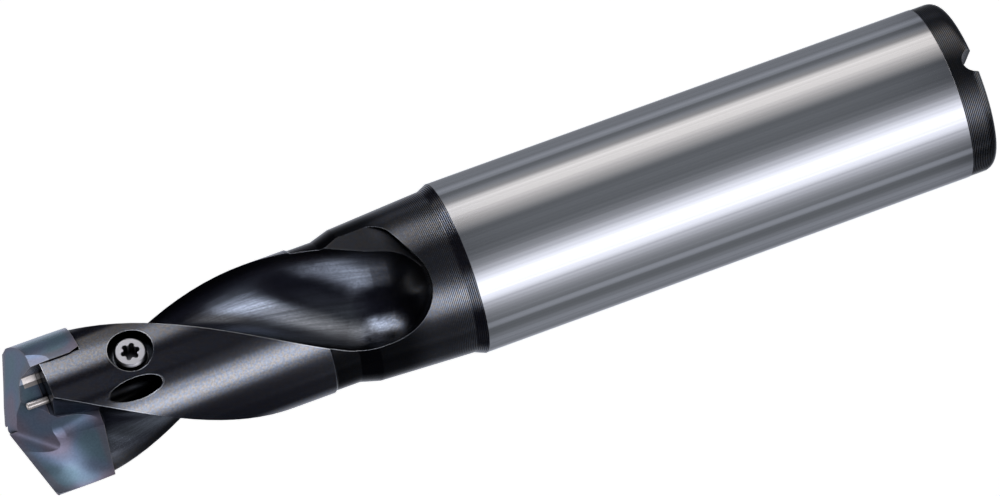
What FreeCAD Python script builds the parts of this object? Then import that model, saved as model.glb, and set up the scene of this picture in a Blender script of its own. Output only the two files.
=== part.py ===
import FreeCAD, Part
import math
import os

# Everything is in millimetres. The drill stands on its shank end: Z is the axis,
# Z = 0 is the rear end face and the point is at the top. Depths are measured
# from the point down the axis. Angles round the axis run from -Y towards +X.

# Overall
overall_length = 92.2
tip_diameter = 13.8
point_angle = 142.3
body_diameter = 13.5
shank_diameter = 16.0

# Shank, rear collar, cone and neck, each length starts where the one before ends
collar_diameter = 15.9
collar_length = 2.65
rear_edge_round = 1.1
shank_length = 46.78
shank_bevel_length = 0.93
cone_rear_diameter = 15.2
cone_length = 8.84
cone_front_diameter = 14.24
neck_taper_length = 1.8
neck_diameter = 13.2
neck_length = 2.3
neck_step_length = 0.2

# Rear end slots and coolant bore
rear_slot_width = 2.1
rear_slot_depth = 1.3
rear_slot_angle = 13.6
rear_bore_diameter = 5.0
rear_bore_length = 44.0
rear_bore_chamfer = 0.6
rear_bore_point = 1.0
core_bore_diameter = 2.4
core_bore_depth = 23.0

# Flutes, cut by a ball cutter on a right-hand helix that ends at flute_end_depth
flute_lead = 73.6
flute_ball_radius = 5.17
core_radius = 2.45
flute_angle_at_point = 163.45
flute_end_depth = 32.6

# Run-out: the ball cutter leaves the helix and rises to this place
runout_depth = 34.04
runout_core_radius = 3.09
runout_angle = 1.8

# Flat on the heel side of each run-out, left by an end mill: its floor, and the
# corner of its wall from the middle of the floor, across and up the drill
relief_depth = 34.5
relief_radius = 6.04
relief_angle = 26.0
relief_tilt = 4.8
relief_start_depth = 28.0
relief_corner = (4.0, -2.25)
relief_width = 5.7
relief_wall_slope = 21.1
relief_mill_radius = 2.85

# Tip seat in the holder
jaw_front_depth = 4.1
seat_depth = 7.9
seat_side_clearance = 0.02
seat_sink_radius = 3.35
seat_sink_depth = 0.6

# Head plan, near side, the far side is the same turned half a turn
drive_inner_x = 3.87
drive_inner_y = -2.62
drive_lean = 17.7
corner_x = 3.35
corner_y = -2.45
flat_slope = 10.1
flat_step = 0.12
flat_step_depth = 3.72

# Cutting edges and flanks of the tip
edge_offset = 1.2
land_relief = 8.0
land_width = 0.82
flank_relief = 18.5
bevel_inset = 0.2
bevel_length = 0.22
wing_chamfer_length = 0.95
wing_chamfer_width = 0.33
wing_chamfer_start = 0.4

# Rake face stations from the rim to the core: the part of the way from the core
# corner to the rim, the lead of the edge over the axis, and how far the face
# leans back per millimetre down the axis
rake_stations = [(1, 1.38, 0.588), (0.75, 1.15, 0.33), (0.5, 0.97, 0.015)]
rake_stations += [(0.25, 0.95, -0.235), (0, 1.2, -0.45)]
core_corner_x = -0.3
core_corner_drift = 0.316

# Web thinning gash, its groove runs from near the chisel edge down the rake face
gash_start = (-0.48, -0.62, 0.6)
gash_end = (-3.2, -1.26, 3.95)
gash_heel_point = (-0.3, -3.1, 4.2)
gash_edge_point = (-2.12, -0.95, 0.62)
gash_radius = 1.6

# Facet that thins the chisel edge, given by three points
chisel_facet = [(0.0, 0.0, 0.12), (0.0, -0.85, 0.7), (1.75, -2.75, 1.55)]
chisel_facet_limit = -0.35

# Facet on the heel corner of each wing, given by three points
heel_facet = [(5.7, -3.889, 3.43), (4.58, -4.92, 3.4), (4.744, -5.01, 5.06)]

# Ball end groove where the rake face meets the core
core_groove_radius = 2.43
core_groove_top = (-2.51, -4.22, 3.72)
core_groove_bottom = (-1.61, -6.57, 8.9)

# Rib on the heel flat
rib_x = 1.41
rib_radius = 0.34
rib_top_depth = 2.0
rib_end_bevel = 0.14

# Tip stem in its bore
stem_diameter = 3.4
stem_clearance = 0.015
stem_length = 7.6
stem_bore_extra = 0.5
stem_chamfer = 0.3
stem_pocket_diameter = 3.8

# Clamp screw, set radially through one side of the holder
screw_angle = 27.3
screw_depth = 11.98
screw_diameter = 3.0
screw_top_radius = 6.3
screw_bottom_radius = 1.35
screw_chamfer = 0.2
screw_clearance = 0.01
socket_diameter = 1.75
socket_lobe_radius = 0.24
socket_depth = 1.3
counterbore_diameter = 4.1
counterbore_floor_radius = 5.35

# Coolant outlets, inclined holes from the core bore to the two lands
coolant_diameter = 1.95
coolant_angle = -3.0
coolant_depth = 11.15
coolant_incline = 23.0

axis_z = FreeCAD.Vector(0, 0, 1)
origin = FreeCAD.Vector(0, 0, 0)


def at_depth(depth):
    return overall_length - depth


def plan_point(radius, angle, height):
    turn = math.radians(angle)
    return FreeCAD.Vector(radius * math.sin(turn), -radius * math.cos(turn), height)


def point_at(place):
    return FreeCAD.Vector(place[0], place[1], at_depth(place[2]))


def half_turn(shape):
    turned = shape.copy()
    turned.rotate(origin, axis_z, 180)
    return turned


def both_sides(shape):
    return [shape, half_turn(shape)]


def revolved(profile):
    points = [FreeCAD.Vector(0, 0, profile[0][1])]
    points += [FreeCAD.Vector(radius, 0, height) for radius, height in profile]
    points += [FreeCAD.Vector(0, 0, profile[-1][1]), points[0]]
    face = Part.Face(Part.makePolygon(points))
    return face.revolve(origin, axis_z, 360)


def prism(plan, low, high):
    points = [FreeCAD.Vector(x, y, low) for x, y in plan]
    face = Part.Face(Part.makePolygon(points + [points[0]]))
    return face.extrude(FreeCAD.Vector(0, 0, high - low))


def bar_along(start, end, radius):
    return Part.makeCylinder(radius, (end - start).Length, start, end - start)


def beyond_plane(point, outward):
    reach = 3 * shank_diameter
    block = Part.makeBox(2 * reach, 2 * reach, reach, FreeCAD.Vector(-reach, -reach, 0))
    block.Placement = FreeCAD.Placement(point, FreeCAD.Rotation(axis_z, outward))
    return block


# Holder

def holder_blank():
    body = body_diameter / 2
    neck = neck_diameter / 2
    shank = shank_diameter / 2
    collar = collar_diameter / 2
    profile = [(collar, 0), (collar, collar_length), (shank, collar_length)]
    steps = [(shank, shank_length), (cone_rear_diameter / 2, shank_bevel_length)]
    steps += [(cone_front_diameter / 2, cone_length), (neck, neck_taper_length)]
    steps += [(neck, neck_length), (body, neck_step_length)]
    for radius, length in steps:
        profile.append((radius, profile[-1][1] + length))
    profile.append((body, at_depth(jaw_front_depth)))
    blank = revolved(profile)
    rim = [e for e in blank.Edges if e.BoundBox.ZMax < 0.01 and e.BoundBox.XLength > collar]
    return blank.makeFillet(rear_edge_round, rim)


def flute_path():
    low = at_depth(flute_end_depth)
    helix = Part.makeHelix(flute_lead, overall_length + 4 - low, core_radius + flute_ball_radius)
    start_turn = flute_angle_at_point - 360 / flute_lead * flute_end_depth - 90
    helix.rotate(origin, axis_z, start_turn)
    helix.translate(FreeCAD.Vector(0, 0, low))
    first = helix.Edges[0]
    begin = first.valueAt(first.FirstParameter)
    heading = first.tangentAt(first.FirstParameter)
    ring = Part.Wire(Part.makeCircle(flute_ball_radius, begin, heading))
    tube = Part.Wire(helix.Edges).makePipeShell([ring], True, True)
    dome = Part.makeSphere(flute_ball_radius, begin)
    exit_radius = runout_core_radius + flute_ball_radius
    exit_place = plan_point(exit_radius, runout_angle, at_depth(runout_depth))
    exit_bar = bar_along(begin, exit_place, flute_ball_radius)
    exit_dome = Part.makeSphere(flute_ball_radius, exit_place)
    return [tube, dome, exit_bar, exit_dome]


def relief_cutter():
    place = plan_point(relief_radius, relief_angle, at_depth(relief_depth))
    outward = plan_point(1, relief_angle, math.tan(math.radians(relief_tilt)))
    across = plan_point(1, relief_angle + 90, 0)
    side, low = relief_corner
    reach = shank_diameter
    far_low = low - relief_width * math.tan(math.radians(relief_wall_slope))
    plan = [(side, low), (side, reach), (side - relief_width, reach), (side - relief_width, far_low)]
    milled = prism(plan, 0, reach)
    corner = [e for e in milled.Edges if e.distToShape(Part.Vertex(side, low, reach / 2))[0] < 1e-6]
    milled = milled.makeFillet(relief_mill_radius, corner)
    turn = FreeCAD.Rotation(across, FreeCAD.Vector(0, 0, 0), outward, "ZXY")
    milled.Placement = FreeCAD.Placement(place, turn)
    return milled.common(Part.makeCylinder(shank_diameter, at_depth(relief_start_depth)))


def flute_cutters():
    cutters = []
    for shape in flute_path() + [relief_cutter()]:
        cutters += both_sides(shape)
    return cutters


def head_plan(raised):
    lean = math.tan(math.radians(drive_lean))
    slope = math.tan(math.radians(flat_slope))
    reach = 9.0
    outer = (drive_inner_x + lean * (reach + drive_inner_y), -reach)
    inner = (drive_inner_x + lean * raised, drive_inner_y - raised)
    corner = (corner_x, corner_y - raised)
    flat_far = (-reach, corner_y - raised - slope * (corner_x + reach))
    near = [outer, inner, corner, flat_far]
    far = [(-x, -y) for x, y in near]
    return near + far


def grown_plan(plan, gap):
    points = [FreeCAD.Vector(x, y, 0) for x, y in plan]
    wire = Part.makePolygon(points + [points[0]])
    grown = wire.makeOffset2D(gap, 2)
    return [(v.X, v.Y) for v in grown.OrderedVertexes]


def seat_cutter():
    plan = grown_plan(head_plan(0), seat_side_clearance)
    return prism(plan, at_depth(seat_depth), overall_length + 1)


def stem_bore():
    radius = stem_diameter / 2 + stem_clearance
    seat = at_depth(seat_depth)
    low = at_depth(seat_depth + stem_length + stem_bore_extra)
    bore = Part.makeCylinder(radius, seat - low + 1, FreeCAD.Vector(0, 0, low))
    sink_base = FreeCAD.Vector(0, 0, seat - seat_sink_depth)
    return bore.fuse(Part.makeCone(radius, seat_sink_radius, seat_sink_depth, sink_base))


def screw_line(radius):
    return plan_point(radius, screw_angle, at_depth(screw_depth))


def screw_hole():
    outside = screw_line(body_diameter)
    thread = bar_along(screw_line(0), outside, screw_diameter / 2 + screw_clearance)
    sink = bar_along(screw_line(counterbore_floor_radius), outside, counterbore_diameter / 2)
    return thread.fuse(sink)


def coolant_outlet():
    mouth = plan_point(body_diameter / 2, coolant_angle, at_depth(coolant_depth))
    rise = math.tan(math.radians(coolant_incline))
    inner = FreeCAD.Vector(0, 0, at_depth(coolant_depth) - body_diameter / 2 / rise)
    outer = mouth + (mouth - inner) * 0.4
    return bar_along(inner, outer, coolant_diameter / 2)


def rear_bore():
    radius = rear_bore_diameter / 2
    wide = Part.makeCylinder(radius, rear_bore_length)
    mouth = Part.makeCone(radius + rear_bore_chamfer, radius, rear_bore_chamfer)
    core = Part.makeCylinder(core_bore_diameter / 2, at_depth(core_bore_depth))
    step = FreeCAD.Vector(0, 0, rear_bore_length)
    drill_point = Part.makeCone(radius, core_bore_diameter / 2, rear_bore_point, step)
    return wide.fuse([mouth, core, drill_point])


def rear_slot():
    radius = rear_slot_width / 2
    reach = shank_diameter
    floor = rear_slot_depth - radius
    start = plan_point(-reach, rear_slot_angle, floor)
    end = plan_point(reach, rear_slot_angle, floor)
    bottom = bar_along(start, end, radius)
    mouth = Part.makeBox(rear_slot_width, 2 * reach, 1 + floor, FreeCAD.Vector(-radius, -reach, -1))
    mouth.rotate(origin, axis_z, rear_slot_angle)
    return bottom.fuse(mouth)


def make_holder():
    holder = holder_blank()
    for cutter in flute_cutters():
        holder = holder.cut(cutter)
    holder = holder.cut(seat_cutter())
    holder = holder.cut(stem_bore())
    holder = holder.cut(screw_hole())
    holder = holder.cut(both_sides(coolant_outlet()))
    holder = holder.cut(rear_bore())
    holder = holder.cut(rear_slot())
    return holder


# Tip

def above_plane(low_point, slope_x, slope_y):
    reach = tip_diameter
    corners = []
    for x, y in [(-reach, -reach), (reach, -reach), (reach, reach), (-reach, reach)]:
        height = low_point.z + slope_x * (x - low_point.x) + slope_y * (y - low_point.y)
        corners.append(FreeCAD.Vector(x, y, height))
    face = Part.Face(Part.makePolygon(corners + [corners[0]]))
    return face.extrude(FreeCAD.Vector(0, 0, 4 * reach))


def facet_cutter(places):
    first, second, third = [point_at(place) for place in places]
    return beyond_plane(first, (second - first).cross(third - first))


def flank_cutters():
    fall = -math.tan(math.radians(90 - point_angle / 2))
    land = math.tan(math.radians(land_relief))
    flank = math.tan(math.radians(flank_relief))
    centre = FreeCAD.Vector(0, 0, overall_length)
    heel_y = edge_offset - land_width
    heel = FreeCAD.Vector(0, heel_y, overall_length + land * heel_y)
    return [above_plane(centre, fall, land), above_plane(heel, fall, flank)]


def edge_depth(x, lead):
    slope = math.tan(math.radians(90 - point_angle / 2))
    return slope * abs(x) - math.tan(math.radians(land_relief)) * lead


def rake_cutter():
    reach = tip_diameter
    wires = []
    for depth in [-1.0, 1.5, 4.0, 6.5, seat_depth + 0.6]:
        height = at_depth(depth)
        core_x = core_corner_x - core_corner_drift * (depth - jaw_front_depth)
        outer_x = -tip_diameter * 0.62
        points = []
        for part, lead, lean in rake_stations:
            x = core_x + (outer_x - core_x) * part
            y = lean * (depth - edge_depth(x, lead)) - lead
            points.append(FreeCAD.Vector(x, y, height))
        curve = Part.BSplineCurve()
        curve.interpolate(points)
        near = FreeCAD.Vector(core_x + 0.6, -reach, height)
        corner = FreeCAD.Vector(outer_x, -reach, height)
        edges = [curve.toShape(), Part.makeLine(points[-1], near)]
        edges += [Part.makeLine(near, corner), Part.makeLine(corner, points[0])]
        wires.append(Part.Wire(edges))
    return Part.makeLoft(wires, True, False)


def gash_cutter():
    start = point_at(gash_start)
    along = (point_at(gash_end) - start).normalize()
    arms = []
    for place in [gash_heel_point, gash_edge_point]:
        offset = point_at(place) - start
        arms.append((offset - along * offset.dot(along)).normalize())
    reach = 12.0
    base = start - along * reach
    face = Part.Face(Part.makePolygon([base, base + arms[0] * reach, base + arms[1] * reach, base]))
    wedge = face.extrude(along * 2 * reach)
    line = [e for e in wedge.Edges if e.distToShape(Part.Vertex(start))[0] < 1e-6]
    return wedge.makeFillet(gash_radius, line)


def chisel_cutter():
    reach = tip_diameter
    facet = facet_cutter(chisel_facet)
    low = FreeCAD.Vector(chisel_facet_limit, -reach, at_depth(reach))
    return facet.common(Part.makeBox(reach, 2 * reach, 2 * reach, low))


def core_groove():
    top = point_at(core_groove_top)
    bottom = point_at(core_groove_bottom)
    return bar_along(bottom, top, core_groove_radius).fuse(Part.makeSphere(core_groove_radius, top))


def heel_rib():
    slope = math.tan(math.radians(flat_slope))
    y = corner_y - flat_step - slope * (corner_x - rib_x)
    top = FreeCAD.Vector(rib_x, y, at_depth(rib_top_depth))
    bottom = FreeCAD.Vector(rib_x, y, at_depth(jaw_front_depth - 0.05))
    bar = bar_along(bottom, top, rib_radius)
    rim = [e for e in bar.Edges if e.BoundBox.ZMin > top.z - 0.01]
    return bar.makeChamfer(rib_end_bevel, rim)


def bevel_cutter():
    radius = tip_diameter / 2
    depth = edge_depth(radius, edge_offset)
    extra = 0.5
    top = (radius - bevel_inset * (1 + extra), at_depth(depth - bevel_length * extra))
    low = (radius + bevel_inset * extra, at_depth(depth + bevel_length * (1 + extra)))
    ring = [top, (radius + 2, top[1]), (radius + 2, low[1]), low]
    points = [FreeCAD.Vector(r, 0, z) for r, z in ring + [top]]
    return Part.Face(Part.makePolygon(points)).revolve(origin, axis_z, 360)


def wing_chamfer():
    lean = math.radians(drive_lean)
    low = at_depth(seat_depth)
    inner = FreeCAD.Vector(drive_inner_x, drive_inner_y, low)
    across = FreeCAD.Vector(math.cos(lean), math.sin(lean), 0)
    along = FreeCAD.Vector(math.sin(lean), -math.cos(lean), 0)
    start = inner + along * wing_chamfer_start
    top = start + axis_z * wing_chamfer_length
    side = start + across * wing_chamfer_width
    ring = [start - across - axis_z, side - axis_z, side, top, top - across, start - across - axis_z]
    return Part.Face(Part.makePolygon(ring)).extrude(along * tip_diameter)


def tip_stem():
    radius = stem_diameter / 2
    low = at_depth(seat_depth + stem_length)
    body = Part.makeCylinder(radius, stem_length - stem_chamfer, FreeCAD.Vector(0, 0, low + stem_chamfer))
    end = Part.makeCone(radius - stem_chamfer, radius, stem_chamfer, FreeCAD.Vector(0, 0, low))
    stem = body.fuse(end)
    outside = screw_line(body_diameter)
    return stem.cut(bar_along(screw_line(screw_bottom_radius), outside, stem_pocket_diameter / 2))


def make_tip():
    low = at_depth(seat_depth)
    step = at_depth(flat_step_depth)
    radius = tip_diameter / 2
    base = prism(head_plan(0), low, step).fuse(prism(head_plan(flat_step), step, overall_length + 1))
    tip = base.common(Part.makeCylinder(radius, seat_depth + 1, FreeCAD.Vector(0, 0, low)))
    tip = tip.cut(both_sides(rake_cutter()))
    for cutter in flank_cutters():
        tip = tip.cut(both_sides(cutter))
    tip = tip.cut(both_sides(gash_cutter()))
    tip = tip.cut(both_sides(chisel_cutter()))
    tip = tip.cut(both_sides(facet_cutter(heel_facet)))
    tip = tip.cut(both_sides(core_groove()))
    tip = tip.cut(bevel_cutter())
    tip = tip.cut(both_sides(wing_chamfer()))
    tip = tip.fuse(both_sides(heel_rib()))
    return tip.fuse(tip_stem())


# Clamp screw

def make_screw():
    top = screw_line(screw_top_radius)
    bottom = screw_line(screw_bottom_radius)
    radius = screw_diameter / 2
    body = bar_along(bottom, top, radius)
    rims = [e for e in body.Edges if len(e.Vertexes) == 1]
    body = body.makeChamfer(screw_chamfer, rims)
    floor = screw_line(screw_top_radius - socket_depth)
    out = (top - floor).normalize()
    centre_radius = socket_diameter / 2 - socket_lobe_radius
    socket = bar_along(floor, top + out, centre_radius)
    for lobe in range(6):
        turn = math.radians(60 * lobe)
        side = axis_z.cross(out)
        shift = axis_z * math.cos(turn) * centre_radius + side * math.sin(turn) * centre_radius
        socket = socket.fuse(bar_along(floor + shift, top + out + shift, socket_lobe_radius))
    return body.cut(socket)


os.makedirs("parts", exist_ok=True)
make_holder().exportStep("parts/holder.step")
make_tip().exportStep("parts/tip.step")
make_screw().exportStep("parts/clamp_screw.step")
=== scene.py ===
import math

import bpy
import numpy as np
from mathutils import Matrix, Vector

# Replaceable tip drill: the finish of its three pieces, studio light, floor and camera

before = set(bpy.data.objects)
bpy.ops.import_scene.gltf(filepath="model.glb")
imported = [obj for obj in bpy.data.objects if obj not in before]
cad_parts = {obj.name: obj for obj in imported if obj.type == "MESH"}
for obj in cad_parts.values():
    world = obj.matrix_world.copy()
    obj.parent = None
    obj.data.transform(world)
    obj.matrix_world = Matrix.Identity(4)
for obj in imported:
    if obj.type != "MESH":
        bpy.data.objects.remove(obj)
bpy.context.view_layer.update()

# Sizes are metres. Heights run along the drill from its rear end face, radii from its axis.
# Angles are degrees. Those round the axis run from -Y towards +X.
mm = 0.001

# Zones of the holder. A pair is where a zone begins to show and where it shows in full.
collar_top = 2.65 * mm
shank_top = 49.43 * mm
shank_from_radius = 7.9 * mm
neck_groove_heights = (shank_top + 4.6 * mm, shank_top + 1.0 * mm)
cone_heights = (57 * mm, 54 * mm)
cone_radii = (6.3 * mm, 6.9 * mm)
# The flutes' shine and tint come in over these heights, with painted shade towards the run-out
flute_shade_heights = (55 * mm, 58.5 * mm)
flute_radii = (6.4 * mm, 5.2 * mm)
land_rear = 63.3 * mm
land_from_radius = 6.7 * mm
bright_edge_heights = (56 * mm, 63 * mm)

# Coolant outlets: place on the land, slope to the axis, a little over their radius, and how
# far from the axis they begin
outlet_angle = -3.0
outlet_height = 81.05 * mm
outlet_radius_place = 6.75 * mm
outlet_incline = 23.0
outlet_radius = 0.985 * mm
outlet_from_axis = 1.3 * mm

# Ribs of the tip, painted light as bare carbide with a painted highlight: x and y of the middle,
# reach and top, for the wing in front
ribs = [
    (1.38 * mm, -3.25 * mm, 0.4 * mm, 90.2 * mm),
    (3.47 * mm, -2.62 * mm, 0.5 * mm, 89.75 * mm),
]
rib_bottom = 87.5 * mm

# How much of the light the black steel gives back, by zone
black_shine = 0.05
collar_shine = 0.065
cone_shine = 0.16
flute_shine = 0.22
land_shine = 0.24
# Painted shade: the share of shine left inside the coolant outlets
outlet_shade_shine = 0.15

# Marks of turning and milling. A pair of shines is that of a dull place and a bright one.
turning_pitch = 0.165 * mm
# Painted light and shade along the turned grooves: how far the shine swings with them
groove_light_and_shade = 0.95
groove_height = 0.6
flute_lead = 73.6 * mm
streaks_per_metre = 4500
streak_stretch = 0.05
streak_shine = (0.4, 1.6)

# Grain and clouds of the black, waves of the coat
grain_per_metre = 5000
grain_height = 0.3
clouds_per_metre = 4000
cloud_range = (0.42, 0.6)
coat_waves_per_metre = 260

# Colours. Those of the black are tints, which its shine scales. The coat drifts from teal
# through blue to violet, each at its place in the waves.
bluish_black = (0.88, 0.96, 1.13, 1)
brownish_black = (1.02, 0.98, 0.97, 1)
flute_black = (0.88, 0.96, 1.12, 1)
ground_steel = (0.6, 0.605, 0.64, 1)
# Steel bared by wear with a painted highlight, for the black's outward edges
wear_and_highlight_steel = (0.62, 0.63, 0.65, 1)
screw_steel = (0.75, 0.74, 0.76)
coat_stops = [
    (0.38, (0.16, 0.25, 0.32, 1)),
    (0.5, (0.18, 0.24, 0.35, 1)),
    (0.66, (0.25, 0.23, 0.31, 1)),
]
rosy_coat = (0.25, 0.18, 0.22, 1)
# Coat lightened by wear with a painted highlight, for outward edges
wear_and_highlight_coat = (0.55, 0.51, 0.5, 1)
# Bare carbide with a painted highlight, for the ribs
bare_and_highlit_carbide = (0.75, 0.69, 0.66, 1)

# How strongly edges show, light from wear and a painted highlight: behind and in front on the steel,
# on the coat, and its rosy rim
bright_edge_share = (0.2, 0.95)
wear_and_highlight_coat_share = 0.5
rosy_share = 0.45

# Roughness
black_rough = 0.24
ground_rough = 0.12
land_polish = 0.4
coat_rough = 0.26
screw_rough = 0.3

# Painted shade: the screw's steel is scaled by how open a place is, raised to this power, so it
# darkens in its socket and recesses
screw_shade_power = 2.5

# Effects: rays a point, the share of rays that stay in the solid where an edge begins and at
# its crest, and the depth of the bump
recess_rays = 8
rounding_rays = 6
edge_rays_inside = (0.93, 0.6)
bump_depth = 0.01 * mm

# Camera
lens_mm = 350
sensor_mm = 36
camera_elevation = 9.98
camera_roll = 109.91
camera_distance = 866.7 * mm
camera_target = Vector((0.38 * mm, 0, 45.03 * mm))

# Soft boxes on the studio wall round the drill, each with even light and soft borders:
# middle angle, half width, border (degrees), bottom and top (mm), brightness, tint.
# Bottoms and tops fade over box_fade_mm.
cool = (0.93, 0.97, 1.08)
half_cool = (0.965, 0.975, 1.04)
warm = (1.05, 0.99, 0.92)
soft_boxes = [
    # Behind the drill, for the rims
    (185, 0, 32, -350, 30, 1.1, cool),
    (180, 20, 34, 30, 76, 0.9, cool),
    (160, 3, 48, -350, 30, 0.25, cool),
    (180, 40, 40, 110, 500, 0.4, cool),
    # The wide box left of the camera
    (-37, 0, 52, -350, 30, 0.85, half_cool),
    (-34, 0, 30, -350, 30, 0.85, half_cool),
    (-36, 4, 22, 30, 44, 1.9, cool),
    (-37, 7, 16, 44, 77, 1.3, cool),
    (-37, 3, 9, 44, 77, 1.2, warm),
    (-38, 8, 22, 77, 165, 1.2, cool),
    (-20, 6, 8, 150, 180, 0.6, cool),
    # The box to the right of it
    (68, 7, 25, -350, 30, 0.65, warm),
    (74, 8, 6, -350, 30, 0.35, warm),
    (76, 4, 16, 30, 44, 0.75, cool),
    (66, 6, 14, 58, 76, 1.1, warm),
    (68, 8, 18, 78, 112, 3.6, cool),
    # Narrow strips and cards
    (-135, 10, 20, -350, 30, 0.2, cool),
    (-91, 2, 5, -350, 30, 0.22, cool),
    (96, 1, 6, -350, 30, 0.1, cool),
    (117, 2, 10, -350, 44, 0.2, cool),
    (95, 6, 10, 62, 100, 0.6, warm),
    (21, 8, 8, 71, 78, 0.4, cool),
    (-12, 8, 8, 70, 78, 0.4, cool),
]
box_fade_mm = 6

# The rest of the wall: pale beside the shank, between two fades, dark above and below. Its
# rows lie close where boxes begin and end.
pale_wall = 0.2 * np.array([0.94, 1.0, 1.06])
dark_wall = 0.02 * np.array([0.88, 0.87, 1.35])
pale_from_mm = (-34, -28)
pale_to_mm = (33, 27)
wall_rows_mm = np.concatenate([[-350, *pale_from_mm, 0], np.arange(20, 264, 3), [300, 500]])
wall_steps = 720
wall_radius = 0.15
wall_streak_depth = 0.16
wall_streak_width = 3
wall_streak_seed = 7

# Background, floor and lamps. The world's own light is weak, the lamps and the wall light the
# drill. A lamp aims at its middle.
world_white = 1.0
world_light = 0.01
floor_white = 0.95
floor_height = -0.3
floor_half_size = 4.0
lamp_aim_height = 45 * mm


# Shader helpers

class Amount:
    """A number that changes over a surface. Sums, products and comparisons with it place the
    math nodes, so a finish reads as a formula. A comparison gives 1 where it holds, and else 0."""

    def __init__(self, tree, socket):
        self.tree = tree
        self.socket = socket

    def __add__(self, other):
        return calc(self.tree, "ADD", self, other)

    def __radd__(self, other):
        return calc(self.tree, "ADD", other, self)

    def __sub__(self, other):
        return calc(self.tree, "SUBTRACT", self, other)

    def __rsub__(self, other):
        return calc(self.tree, "SUBTRACT", other, self)

    def __mul__(self, other):
        return calc(self.tree, "MULTIPLY", self, other)

    def __rmul__(self, other):
        return calc(self.tree, "MULTIPLY", other, self)

    def __gt__(self, other):
        return calc(self.tree, "GREATER_THAN", self, other)

    def __lt__(self, other):
        return calc(self.tree, "LESS_THAN", self, other)

    def between(self, low, high):
        """low where this is 0 and high where it is 1, in a straight line."""
        return low + self * (high - low)

    def fade(self, start, end, low=0.0, high=1.0):
        """low before start, high after end, and a soft change from one to the other."""
        made = node(self.tree, "ShaderNodeMapRange", Value=self, From_Min=start, From_Max=end,
                    To_Min=low, To_Max=high)
        made.interpolation_type = "SMOOTHSTEP"
        return Amount(self.tree, made.outputs[0])


def put(tree, socket, value):
    if isinstance(value, Amount):
        value = value.socket
    if isinstance(value, bpy.types.NodeSocket):
        tree.links.new(value, socket)
    else:
        socket.default_value = value


def node(tree, kind, **inputs):
    made = tree.nodes.new(kind)
    for name, value in inputs.items():
        put(tree, made.inputs[name.replace("_", " ")], value)
    return made


def calc(tree, operation, *values):
    made = tree.nodes.new("ShaderNodeMath")
    made.operation = operation
    for socket, value in zip(made.inputs, values):
        put(tree, socket, value)
    return Amount(tree, made.outputs[0])


def vector_calc(tree, operation, first, second):
    made = tree.nodes.new("ShaderNodeVectorMath")
    made.operation = operation
    put(tree, made.inputs[0], first)
    put(tree, made.inputs[1], second)
    return made.outputs


def mix_colour(tree, factor, first, second):
    """The first colour where factor is 0 and the second where it is 1. The node's sockets for
    colours go by number, because those for numbers have the same names."""
    made = tree.nodes.new("ShaderNodeMix")
    made.data_type = "RGBA"
    put(tree, made.inputs[0], factor)
    put(tree, made.inputs[6], first)
    put(tree, made.inputs[7], second)
    return made.outputs[2]


def scaled_colour(tree, colour, strength):
    made = tree.nodes.new("ShaderNodeVectorMath")
    made.operation = "SCALE"
    put(tree, made.inputs[0], colour)
    put(tree, made.inputs["Scale"], strength)
    return made.outputs[0]


def noise(tree, place, per_metre, detail):
    made = node(tree, "ShaderNodeTexNoise", Vector=place, Scale=per_metre, Detail=detail)
    return Amount(tree, made.outputs[0])


def grey(value):
    return (value, value, value, 1)


def place_of(tree):
    """The place on the drill as one vector and as x, y and z."""
    place = tree.nodes.new("ShaderNodeTexCoord").outputs["Object"]
    split = node(tree, "ShaderNodeSeparateXYZ", Vector=place)
    return place, [Amount(tree, socket) for socket in split.outputs]


def new_material(name):
    material = bpy.data.materials.new(name)
    material.use_nodes = True
    material.node_tree.nodes.clear()
    return material, material.node_tree


def finish_surface(tree, **inputs):
    shader = node(tree, "ShaderNodeBsdfPrincipled", **inputs)
    node(tree, "ShaderNodeOutputMaterial", Surface=shader.outputs[0])


# Effects that more than one finish uses, each a node group

number_socket = "NodeSocketFloat"
vector_socket = "NodeSocketVector"


def new_group(name, inputs, outputs):
    """An empty group with its inputs and outputs, given as names with the kind of socket."""
    group = bpy.data.node_groups.new(name, "ShaderNodeTree")
    for in_out, sockets in (("INPUT", inputs), ("OUTPUT", outputs)):
        for title, kind in sockets.items():
            group.interface.new_socket(name=title, in_out=in_out, socket_type=kind)
    given = group.nodes.new("NodeGroupInput").outputs
    result = group.nodes.new("NodeGroupOutput").inputs
    return group, given, result


def place_group(tree, group, **inputs):
    """The group placed in a tree with its values. Returns what it gives, by name."""
    made = tree.nodes.new("ShaderNodeGroup")
    made.node_tree = group
    for name, value in inputs.items():
        put(tree, made.inputs[name.replace("_", " ")], value)
    return {socket.name: Amount(tree, socket) for socket in made.outputs}


def edges_and_recesses_group():
    """Edge is 1 on outward edges, where rays through the solid soon leave it; the finishes paint
    wear and a highlight there. Open is 1 in the open and 0 deep in a recess; the finishes paint
    shade with it."""
    group, given, result = new_group(
        "edges_and_recesses",
        {"Edge Width": number_socket, "Recess Reach": number_socket},
        {"Edge": number_socket, "Open": number_socket},
    )
    inner = node(group, "ShaderNodeAmbientOcclusion", Distance=given["Edge Width"])
    inner.inside = True
    inner.only_local = True
    inner.samples = recess_rays
    outer = node(group, "ShaderNodeAmbientOcclusion", Distance=given["Recess Reach"])
    outer.samples = recess_rays
    put(group, result["Edge"], Amount(group, inner.outputs["AO"]).fade(*edge_rays_inside))
    put(group, result["Open"], outer.outputs["AO"])
    return group


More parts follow.
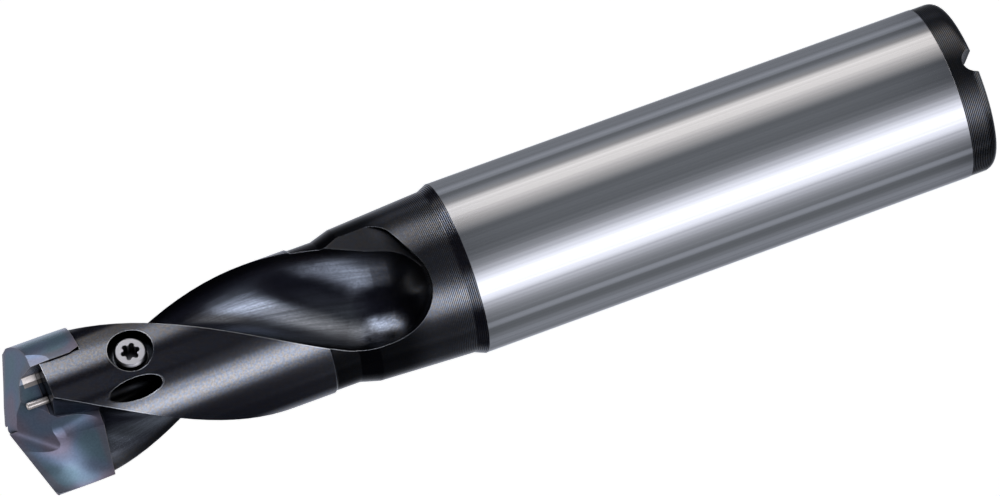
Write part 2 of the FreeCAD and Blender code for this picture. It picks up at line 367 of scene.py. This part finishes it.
def rounded_edges_group():
    """Normal is the surface's own, rounded over at edges, with the bump of Height on it."""
    group, given, result = new_group(
        "rounded_edges",
        {"Radius": number_socket, "Height": number_socket, "Strength": number_socket},
        {"Normal": vector_socket},
    )
    rounded = node(group, "ShaderNodeBevel", Radius=given["Radius"])
    rounded.samples = rounding_rays
    bump = node(group, "ShaderNodeBump", Strength=given["Strength"], Distance=bump_depth,
                Height=given["Height"], Normal=rounded.outputs[0])
    put(group, result["Normal"], bump.outputs[0])
    return group


def fine_grain_group():
    """Grain is an even noise of about 0.2 mm at Place. Shine goes with it from Dull to Bright."""
    group, given, result = new_group(
        "fine_grain",
        {"Place": vector_socket, "Dull": number_socket, "Bright": number_socket},
        {"Grain": number_socket, "Shine": number_socket},
    )
    grain = noise(group, given["Place"], grain_per_metre, detail=2.0)
    shine = grain.between(Amount(group, given["Dull"]), Amount(group, given["Bright"]))
    put(group, result["Grain"], grain)
    put(group, result["Shine"], shine)
    return group


def inside_rod_group():
    """Inside is 1 where Place is nearer than Radius to the straight line through Start along
    Direction, whose length is 1, and else 0."""
    group, given, result = new_group(
        "inside_rod",
        {"Place": vector_socket, "Start": vector_socket, "Direction": vector_socket,
         "Radius": number_socket},
        {"Inside": number_socket},
    )
    offset = vector_calc(group, "SUBTRACT", given["Place"], given["Start"])[0]
    across = vector_calc(group, "CROSS_PRODUCT", offset, given["Direction"])[0]
    length = node(group, "ShaderNodeVectorMath")
    length.operation = "LENGTH"
    put(group, length.inputs[0], across)
    distance = Amount(group, length.outputs["Value"])
    put(group, result["Inside"], distance < given["Radius"])
    return group


edges_and_recesses = edges_and_recesses_group()
rounded_edges = rounded_edges_group()
fine_grain = fine_grain_group()
inside_rod = inside_rod_group()


# Finishes

def inside_outlet(tree, place, side):
    """1 inside a coolant outlet, side is 1 for the near one and -1 for the one behind."""
    turn = math.radians(outlet_angle)
    rise = math.radians(outlet_incline)
    mouth = Vector((math.sin(turn) * side, -math.cos(turn) * side, 0))
    start = mouth * outlet_radius_place + Vector((0, 0, outlet_height))
    along = mouth * math.sin(rise) + Vector((0, 0, math.cos(rise)))
    rod = place_group(tree, inside_rod, Place=place, Start=start, Direction=along,
                      Radius=outlet_radius)
    towards_mouth = Amount(tree, vector_calc(tree, "DOT_PRODUCT", place, mouth)["Value"])
    return rod["Inside"] * (towards_mouth > outlet_from_axis)


def milled_streaks(tree, place, z):
    """Shine of fine streaks that run along the flutes: a noise on the place turned back by the
    flutes' helix and drawn out along it."""
    turn = z * (-2 * math.pi / flute_lead)
    unwound = node(tree, "ShaderNodeVectorRotate", Vector=place, Angle=turn)
    unwound.rotation_type = "Z_AXIS"
    drawn_out = node(tree, "ShaderNodeMapping", Vector=unwound.outputs[0],
                     Scale=(1, 1, streak_stretch))
    return noise(tree, drawn_out.outputs[0], streaks_per_metre, detail=1.0).between(*streak_shine)


def holder_finish():
    """Ground steel on the shank, else black oxide: turned grooves on the collar and the rear of the
    cone with painted light and shade along them, milled streaks in the flutes, shinier lands,
    edges bright with wear and a painted highlight, and painted shade in recesses, in the coolant
    outlets and towards the flutes' run-out."""
    material, tree = new_material("holder_steel")
    place, (x, y, z) = place_of(tree)
    radius = calc(tree, "SQRT", x * x + y * y)
    wear_highlight_and_shade = place_group(tree, edges_and_recesses, Edge_Width=0.1 * mm, Recess_Reach=1.2 * mm)
    grain = place_group(tree, fine_grain, Place=place, Dull=0.7, Bright=1.3)

    collar = z < collar_top
    ground = (z > collar_top) * (z < shank_top) * (radius > shank_from_radius)
    land = (z > land_rear) * (radius > land_from_radius)
    cone = z.fade(*cone_heights) * (z > shank_top) * radius.fade(*cone_radii)
    in_flute = z.fade(*flute_shade_heights) * radius.fade(*flute_radii)
    in_outlet = calc(tree, "MAXIMUM", inside_outlet(tree, place, 1),
                     inside_outlet(tree, place, -1))
    turned = (z.fade(*neck_groove_heights) + collar) * (1.0 - ground)
    grooves = calc(tree, "SINE", z * (2 * math.pi / turning_pitch)) * turned

    shine = land * (land_shine - black_shine) + black_shine
    shine = shine + collar * (collar_shine - black_shine)
    shine = shine + cone * (cone_shine - black_shine)
    # Flutes: milled streaks, with painted shade towards the run-out at the rear
    shine = shine + in_flute * milled_streaks(tree, place, z) * (flute_shine - black_shine)
    # The shine swings with the turned grooves, painted light and shade beside their bump
    shine = shine * grain["Shine"] * (1.0 + grooves * groove_light_and_shade)
    # Painted shade: darker in recesses and crevices, and inside the coolant outlets
    shine = shine * (wear_highlight_and_shade["Open"] * wear_highlight_and_shade["Open"]) * in_outlet.between(1.0, outlet_shade_shine)

    clouds = noise(tree, place, clouds_per_metre, detail=1.0).fade(*cloud_range)
    tint = mix_colour(tree, clouds, bluish_black, brownish_black)
    tint = mix_colour(tree, in_flute, tint, flute_black)
    # Outward edges: steel bared by wear, with a painted highlight, stronger towards the front
    bright_edge = wear_highlight_and_shade["Edge"] * z.fade(*bright_edge_heights, *bright_edge_share)
    black = mix_colour(tree, bright_edge, scaled_colour(tree, tint, shine), wear_and_highlight_steel)
    colour = mix_colour(tree, ground, black, ground_steel)

    polish = calc(tree, "MAXIMUM", ground, land * land_polish)
    height = grooves * groove_height + grain["Grain"] * grain_height * (1.0 - ground)
    rounded = place_group(tree, rounded_edges, Radius=0.07 * mm, Height=height, Strength=0.35)
    finish_surface(tree, Base_Color=colour, Metallic=1.0,
                   Roughness=polish.between(black_rough, ground_rough), Specular_Tint=grey(0.5),
                   Anisotropic=0.8, Anisotropic_Rotation=0.25, Normal=rounded["Normal"])
    return material


def tip_finish():
    """Coated carbide with slow waves of colour, rosy near its edges, with edges light from wear and
    a painted highlight, painted shade in recesses, and ribs painted light as bare carbide with a
    painted highlight."""
    material, tree = new_material("coated_carbide")
    place, (_, _, z) = place_of(tree)
    wear_highlight_and_shade = place_group(tree, edges_and_recesses, Edge_Width=0.05 * mm, Recess_Reach=0.8 * mm)
    near_edge = place_group(tree, edges_and_recesses, Edge_Width=1.0 * mm)["Edge"]
    grain = place_group(tree, fine_grain, Place=place, Dull=0.8, Bright=1.2)

    coat = tree.nodes.new("ShaderNodeValToRGB")
    put(tree, coat.inputs[0], noise(tree, place, coat_waves_per_metre, detail=1.0))
    stops = coat.color_ramp.elements
    stops.new(0.5)
    for stop, (position, coat_colour) in zip(stops, coat_stops):
        stop.position = position
        stop.color = coat_colour

    colour = mix_colour(tree, near_edge * rosy_share, coat.outputs[0], rosy_coat)
    # Ribs painted light beige: bare carbide with a painted highlight
    for side in (1, -1):
        for rib_x, rib_y, reach, top in ribs:
            rod = place_group(tree, inside_rod, Place=place, Start=(rib_x * side, rib_y * side, 0),
                              Direction=(0, 0, 1), Radius=reach)
            rib = rod["Inside"] * ((z > rib_bottom) * (z < top))
            colour = mix_colour(tree, rib, colour, bare_and_highlit_carbide)
    # Painted shade: the coat darker in recesses and crevices
    shine = grain["Shine"] * (wear_highlight_and_shade["Open"] * wear_highlight_and_shade["Open"])
    coated = scaled_colour(tree, colour, shine)
    # Outward edges: coat lightened by wear, with a painted highlight
    colour = mix_colour(tree, wear_highlight_and_shade["Edge"] * wear_and_highlight_coat_share, coated, wear_and_highlight_coat)
    rounded = place_group(tree, rounded_edges, Radius=0.05 * mm, Height=grain["Grain"],
                          Strength=0.2)
    finish_surface(tree, Base_Color=colour, Metallic=0.6, Roughness=coat_rough,
                   Normal=rounded["Normal"])
    return material


def screw_finish():
    """Bright steel, with painted shade in the socket."""
    material, tree = new_material("screw_steel")
    wear_highlight_and_shade = place_group(tree, edges_and_recesses, Edge_Width=0.05 * mm, Recess_Reach=0.9 * mm)
    # Painted shade: the steel darkens where the place is less open, as in the socket
    steel = scaled_colour(tree, screw_steel, calc(tree, "POWER", wear_highlight_and_shade["Open"], screw_shade_power))
    rounded = place_group(tree, rounded_edges, Radius=0.06 * mm, Height=0.0, Strength=0.0)
    finish_surface(tree, Base_Color=steel, Metallic=1.0, Roughness=screw_rough,
                   Normal=rounded["Normal"])
    return material


# Studio

def seen_directly(tree):
    """1 for what the camera sees itself, in a mirror or through glass, and else 0."""
    path = tree.nodes.new("ShaderNodeLightPath").outputs
    seen = calc(tree, "ADD", path["Is Camera Ray"], path["Is Glossy Ray"])
    seen = seen + path["Is Transmission Ray"]
    return calc(tree, "MINIMUM", seen, 1.0)


def white_world():
    world = bpy.data.worlds.new("studio")
    bpy.context.scene.world = world
    world.use_nodes = True
    tree = world.node_tree
    background = tree.nodes["Background"]
    put(tree, background.inputs["Color"], grey(1.0))
    put(tree, background.inputs["Strength"], seen_directly(tree).between(world_light, world_white))


def floor_finish():
    material, tree = new_material("pale_floor")
    finish_surface(tree, Base_Color=grey(0.8), Roughness=0.9, Emission_Color=grey(1.0),
                   Emission_Strength=seen_directly(tree) * floor_white)
    return material


def mesh_object(name, points, faces, material):
    mesh = bpy.data.meshes.new(name)
    mesh.from_pydata(points.tolist(), [], faces.tolist())
    mesh.materials.append(material)
    made = bpy.data.objects.new(name, mesh)
    bpy.context.scene.collection.objects.link(made)
    return made


def floor():
    """Flat square under the drill, four corners at floor_height."""
    half = floor_half_size
    corners = np.array([(-half, -half), (half, -half), (half, half), (-half, half)])
    points = np.column_stack([corners, np.full(4, floor_height)])
    made = mesh_object("floor", points, np.array([[0, 1, 2, 3]]), floor_finish())


def wall_finish():
    """Gives the light that the mesh carries at each point."""
    material, tree = new_material("studio_wall")
    light = tree.nodes.new("ShaderNodeAttribute")
    light.attribute_name = "light"
    glow = node(tree, "ShaderNodeEmission", Color=light.outputs["Color"], Strength=1.0)
    node(tree, "ShaderNodeOutputMaterial", Surface=glow.outputs[0])
    return material


def fade(value, start, end):
    """0 before start, 1 after end, and a soft change from one to the other."""
    part = np.clip((value - start) / (end - start), 0, 1)
    return part * part * (3 - 2 * part)


def wall_light(angle):
    """Colour of the wall's light for each row and angle: the wall's own, plus that of each soft
    box, which is even inside its half width and falls off smoothly over its border. Streaks
    along the drill make the reflections in the ground shank a little uneven."""
    height = wall_rows_mm
    beside_shank = fade(height, *pale_to_mm)
    own = dark_wall + (pale_wall - dark_wall) * (beside_shank * fade(height, *pale_from_mm))[:, None]
    light = np.repeat(own[:, None, :], len(angle), axis=1)
    half_fade = box_fade_mm / 2
    for middle, half, border, bottom, top, strength, tint in soft_boxes:
        away = np.abs((angle - middle + 180) % 360 - 180)
        across = fade(away, half + border, half)
        up = fade(height, bottom - half_fade, bottom + half_fade)
        up = up * fade(height, top + half_fade, top - half_fade)
        light = light + up[:, None, None] * across[None, :, None] * strength * np.array(tint)
    draws = np.random.default_rng(wall_streak_seed).normal(0, 1, len(angle))
    streaks = np.convolve(draws, np.ones(wall_streak_width) / wall_streak_width, "same")
    return light * (1 + wall_streak_depth * streaks[None, :, None] * beside_shank[:, None, None])


def studio_wall():
    """Upright tube round the drill: a circle of wall_radius at each height of wall_rows_mm."""
    rows = len(wall_rows_mm)
    angle = np.linspace(-180, 180, wall_steps, endpoint=False)
    turn = np.radians(angle)
    circle = np.column_stack([np.sin(turn), -np.cos(turn)]) * wall_radius
    points = np.column_stack([np.tile(circle, (rows, 1)), np.repeat(wall_rows_mm * mm, wall_steps)])
    here = np.arange(wall_steps)
    there = (here + 1) % wall_steps
    low = (np.arange(rows - 1) * wall_steps)[:, None]
    high = low + wall_steps
    faces = np.stack([low + here, high + here, high + there, low + there], axis=2).reshape(-1, 4)
    light = np.ones((rows, wall_steps, 4))
    light[:, :, :3] = wall_light(angle)

    made = mesh_object("studio_ring", points, faces, wall_finish())
    carried = made.data.attributes.new("light", "FLOAT_COLOR", "POINT")
    carried.data.foreach_set("color", light.ravel())
    made.visible_camera = False
    made.visible_diffuse = False
    made.visible_shadow = False


def soft_lamp(name, angle, height, distance, width, length, watts):
    """Soft light on the drill's middle. Its own reflection is hidden, the wall gives that."""
    lamp = bpy.data.lights.new(name, "AREA")
    lamp.shape = "RECTANGLE"
    lamp.size = width
    lamp.size_y = length
    lamp.energy = watts
    made = bpy.data.objects.new(name, lamp)
    turn = math.radians(angle)
    made.location = Vector((math.sin(turn) * distance, -math.cos(turn) * distance, height))
    aim = Vector((0, 0, lamp_aim_height)) - made.location
    made.rotation_euler = aim.to_track_quat("-Z", "Y").to_euler()
    made.visible_glossy = False
    bpy.context.scene.collection.objects.link(made)


def camera():
    """Looks along +Y and down by its elevation, and is rolled about its own line of sight."""
    data = bpy.data.cameras.new("camera")
    data.lens = lens_mm
    data.sensor_width = sensor_mm
    data.clip_start = 0.1
    data.clip_end = 20
    made = bpy.data.objects.new("camera", data)
    tilt = math.radians(camera_elevation)
    roll = math.radians(camera_roll)
    right = Vector((1, 0, 0))
    up = Vector((0, math.sin(tilt), math.cos(tilt)))
    back = Vector((0, -math.cos(tilt), math.sin(tilt)))
    across = right * math.cos(roll) - up * math.sin(roll)
    above = right * math.sin(roll) + up * math.cos(roll)
    turn = Matrix((across, above, back)).transposed().to_4x4()
    made.matrix_world = Matrix.Translation(camera_target + back * camera_distance) @ turn
    bpy.context.scene.collection.objects.link(made)
    bpy.context.scene.camera = made


finishes = {"holder": holder_finish(), "tip": tip_finish(), "clamp_screw": screw_finish()}
for name, finish in finishes.items():
    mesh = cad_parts[name].data
    mesh.materials.clear()
    mesh.materials.append(finish)

white_world()
floor()
studio_wall()
soft_lamp("left_box", angle=-40, height=0.15, distance=0.5, width=0.15, length=0.5, watts=1.8)
soft_lamp("right_box", angle=72, height=0.15, distance=0.5, width=0.2, length=0.5, watts=1.8)
camera()
bpy.context.scene.view_settings.view_transform = "Standard"
